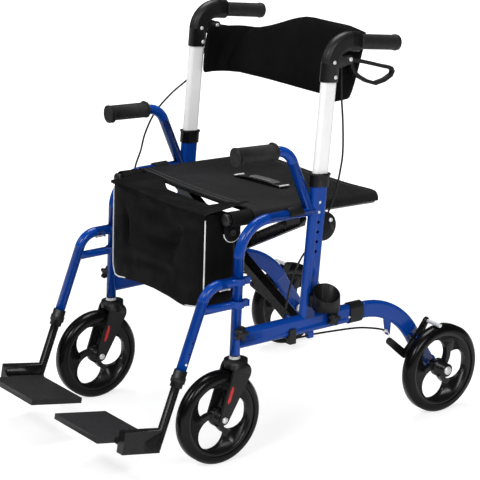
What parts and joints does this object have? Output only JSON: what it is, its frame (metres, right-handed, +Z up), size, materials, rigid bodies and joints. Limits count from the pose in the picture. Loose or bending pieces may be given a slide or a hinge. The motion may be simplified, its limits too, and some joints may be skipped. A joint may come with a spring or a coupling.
{
  "type": "rollator transport chair",
  "caption": "Folding rollator with seat, backrest band, arm rests, swing-away footrests, hand brakes, under-seat bag and spoked wheels",
  "frame": {"origin": "centre of the bounding box on the floor", "axes": "+X to the user's left side, -Y forward to the footrests, +Z up"},
  "size_m": [0.622, 0.9476, 0.8715],
  "materials": {
    "frame_paint": "gloss blue powder coat",
    "handle_tube": "satin silver-white",
    "black_plastic": "moulded matte black",
    "wheel_plastic": "moulded black",
    "black_metal": "satin black paint",
    "grip_rubber": "matte black",
    "foam": "matte black foam",
    "tyre": "smooth black",
    "steel": "zinc plated",
    "cable": "black sheath",
    "fabric": "black woven",
    "strap": "black moulded"
  },
  "bodies": {
    "left_side": {"left_upright": "frame_paint", "left_front_leg": "frame_paint", "left_lower_rail": "frame_paint", "left_arm_tube": "frame_paint", "left_arm_grip": "foam", "left_frame_mouldings": "black_plastic", "left_brake_cable": "cable", "left_rear_leg": "frame_paint", "left_rear_axle": "steel", "cane_cup": "black_plastic"},
    "left_handle": {"left_handle_tube": "handle_tube", "left_handle_elbow": "black_plastic", "left_hand_grip": "grip_rubber", "backrest": "fabric"},
    "left_lever": {"left_brake_lever": "black_plastic"},
    "left_brake": {"left_brake_arm": "black_metal"},
    "left_rear_wheel": {"left_rear_rim": "wheel_plastic", "left_rear_tyre": "tyre"},
    "left_caster": {"left_caster_fork": "black_plastic", "left_caster_axle": "steel"},
    "left_caster_wheel": {"left_caster_rim": "wheel_plastic", "left_caster_tyre": "tyre"},
    "left_footrest": {"left_footrest_hanger": "frame_paint", "left_footrest_clamp": "black_plastic"},
    "left_foot_tube": {"left_footrest_tube": "black_metal"},
    "left_foot_plate": {"left_footplate": "black_plastic"},
    "left_rear_screw": {"left_rear_knob": "black_plastic"},
    "left_front_screw": {"left_front_knob": "black_plastic"},
    "brace_a": {"cross_brace_a": "black_metal", "brace_pivot": "steel"},
    "brace_b": {"cross_brace_b": "black_metal"},
    "seat_body": {"seat": "fabric", "seat_strap": "strap", "bag": "fabric"},
    "right_side": {"right_upright": "frame_paint", "right_front_leg": "frame_paint", "right_lower_rail": "frame_paint", "right_arm_tube": "frame_paint", "right_arm_grip": "foam", "right_frame_mouldings": "black_plastic", "right_brake_cable": "cable", "right_rear_leg": "frame_paint", "right_rear_axle": "steel"},
    "right_handle": {"right_handle_tube": "handle_tube", "right_handle_elbow": "black_plastic", "right_hand_grip": "grip_rubber"},
    "right_lever": {"right_brake_lever": "black_plastic"},
    "right_brake": {"right_brake_arm": "black_metal"},
    "right_rear_wheel": {"right_rear_rim": "wheel_plastic", "right_rear_tyre": "tyre"},
    "right_caster": {"right_caster_fork": "black_plastic", "right_caster_axle": "steel"},
    "right_caster_wheel": {"right_caster_rim": "wheel_plastic", "right_caster_tyre": "tyre"},
    "right_footrest": {"right_footrest_hanger": "frame_paint", "right_footrest_clamp": "black_plastic"},
    "right_foot_tube": {"right_footrest_tube": "black_metal"},
    "right_foot_plate": {"right_footplate": "black_plastic"},
    "right_rear_screw": {"right_rear_knob": "black_plastic"},
    "right_front_screw": {"right_front_knob": "black_plastic"}
  },
  "joints": [
    {"name": "frame_fold", "type": "hinge", "parent": "left_side", "child": "brace_a", "pos_m": [0.214, 0.01334, 0.268], "axis": [0, 1, 0], "range_deg": [0, 52], "deforming": ["seat", "seat_strap", "bag", "backrest"]},
    {"name": "brace_cross", "type": "hinge", "parent": "brace_a", "child": "brace_b", "pos_m": [0, 0.02434, 0.37345], "axis": [0, 1, 0], "range_deg": [-104, 0]},
    {"name": "right_fold", "type": "hinge", "parent": "brace_b", "child": "right_side", "pos_m": [-0.214, 0.03535, 0.268], "axis": [0, 1, 0], "range_deg": [0, 52]},
    {"name": "seat_level", "type": "hinge", "parent": "brace_a", "child": "seat_body", "pos_m": [-0.205, 0.02434, 0.502], "axis": [0, 1, 0], "range_deg": [-52, 0]},
    {"name": "left_height", "type": "slide", "parent": "left_side", "child": "left_handle", "axis": [0, 0.1011, 0.9949], "range_m": [-0.084, 0], "deforming": ["left_brake_cable"]},
    {"name": "left_squeeze", "type": "hinge", "parent": "left_handle", "child": "left_lever", "pos_m": [0.239, 0.13318, 0.8149], "axis": [1, 0, 0], "range_deg": [0, 12], "stiffness_Nm_per_rad": 1.5, "springref_deg": -8.59},
    {"name": "left_brake_pivot", "type": "hinge", "parent": "left_side", "child": "left_brake", "pos_m": [0.2525, 0.33065, 0.16903], "axis": [1, 0, 0], "range_deg": [-4.4, 0]},
    {"name": "left_rear_roll", "type": "hinge", "parent": "left_side", "child": "left_rear_wheel", "pos_m": [0.28, 0.37378, 0.1], "axis": [1, 0, 0], "continuous": true},
    {"name": "left_caster_swivel", "type": "hinge", "parent": "left_side", "child": "left_caster", "pos_m": [0.239, -0.15266, 0.228], "axis": [0, 0, 1], "continuous": true},
    {"name": "left_caster_roll", "type": "hinge", "parent": "left_caster", "child": "left_caster_wheel", "pos_m": [0.239, -0.19565, 0.1], "axis": [1, 0, 0], "continuous": true},
    {"name": "left_footrest_swing", "type": "hinge", "parent": "left_side", "child": "left_footrest", "pos_m": [0.239, -0.14443, 0.385], "axis": [0, 0.0523, 0.9986], "range_deg": [0, 90]},
    {"name": "left_foot_length", "type": "slide", "parent": "left_footrest", "child": "left_foot_tube", "axis": [0, 0.3746, 0.9272], "range_m": [0, 0.05]},
    {"name": "left_foot_flip", "type": "hinge", "parent": "left_foot_tube", "child": "left_foot_plate", "pos_m": [0.221, -0.35074, 0.0816], "axis": [0, 0.9836, -0.1805], "range_deg": [0, 90]},
    {"name": "left_rear_turn", "type": "hinge", "parent": "left_side", "child": "left_rear_screw", "pos_m": [0.253, 0.09234, 0.263], "axis": [1, 0, 0], "continuous": true},
    {"name": "left_front_turn", "type": "hinge", "parent": "left_side", "child": "left_front_screw", "pos_m": [0.253, -0.15004, 0.278], "axis": [1, 0, 0], "continuous": true},
    {"name": "right_height", "type": "slide", "parent": "right_side", "child": "right_handle", "axis": [0, 0.1011, 0.9949], "range_m": [-0.084, 0], "deforming": ["right_brake_cable", "backrest"]},
    {"name": "right_squeeze", "type": "hinge", "parent": "right_handle", "child": "right_lever", "pos_m": [-0.239, 0.13318, 0.8149], "axis": [1, 0, 0], "range_deg": [0, 12], "stiffness_Nm_per_rad": 1.5, "springref_deg": -8.59},
    {"name": "right_brake_pivot", "type": "hinge", "parent": "right_side", "child": "right_brake", "pos_m": [-0.2525, 0.33065, 0.16903], "axis": [1, 0, 0], "range_deg": [-4.4, 0]},
    {"name": "right_rear_roll", "type": "hinge", "parent": "right_side", "child": "right_rear_wheel", "pos_m": [-0.28, 0.37378, 0.1], "axis": [1, 0, 0], "continuous": true},
    {"name": "right_caster_swivel", "type": "hinge", "parent": "right_side", "child": "right_caster", "pos_m": [-0.239, -0.15266, 0.228], "axis": [0, 0, 1], "continuous": true},
    {"name": "right_caster_roll", "type": "hinge", "parent": "right_caster", "child": "right_caster_wheel", "pos_m": [-0.239, -0.19565, 0.1], "axis": [1, 0, 0], "continuous": true},
    {"name": "right_footrest_swing", "type": "hinge", "parent": "right_side", "child": "right_footrest", "pos_m": [-0.239, -0.14443, 0.385], "axis": [0, -0.0523, -0.9986], "range_deg": [0, 90]},
    {"name": "right_foot_length", "type": "slide", "parent": "right_footrest", "child": "right_foot_tube", "axis": [0, 0.3746, 0.9272], "range_m": [0, 0.05]},
    {"name": "right_foot_flip", "type": "hinge", "parent": "right_foot_tube", "child": "right_foot_plate", "pos_m": [-0.221, -0.35074, 0.0816], "axis": [0, -0.9836, 0.1805], "range_deg": [0, 90]},
    {"name": "right_rear_turn", "type": "hinge", "parent": "right_side", "child": "right_rear_screw", "pos_m": [-0.253, 0.09234, 0.263], "axis": [1, 0, 0], "continuous": true},
    {"name": "right_front_turn", "type": "hinge", "parent": "right_side", "child": "right_front_screw", "pos_m": [-0.253, -0.15004, 0.278], "axis": [1, 0, 0], "continuous": true}
  ],
  "couplings": [
    {"joint": "brace_cross", "follows": "frame_fold", "ratio": -2},
    {"joint": "right_fold", "follows": "frame_fold", "ratio": 1},
    {"joint": "seat_level", "follows": "frame_fold", "ratio": -1},
    {"joint": "left_brake_pivot", "follows": "left_squeeze", "ratio": -0.36667},
    {"joint": "left_foot_flip", "follows": "frame_fold", "ratio": 1.7308},
    {"joint": "right_brake_pivot", "follows": "right_squeeze", "ratio": -0.36667},
    {"joint": "right_foot_flip", "follows": "frame_fold", "ratio": 1.7308},
    {"joint": "right_height", "follows": "left_height", "ratio": 1}
  ]
}
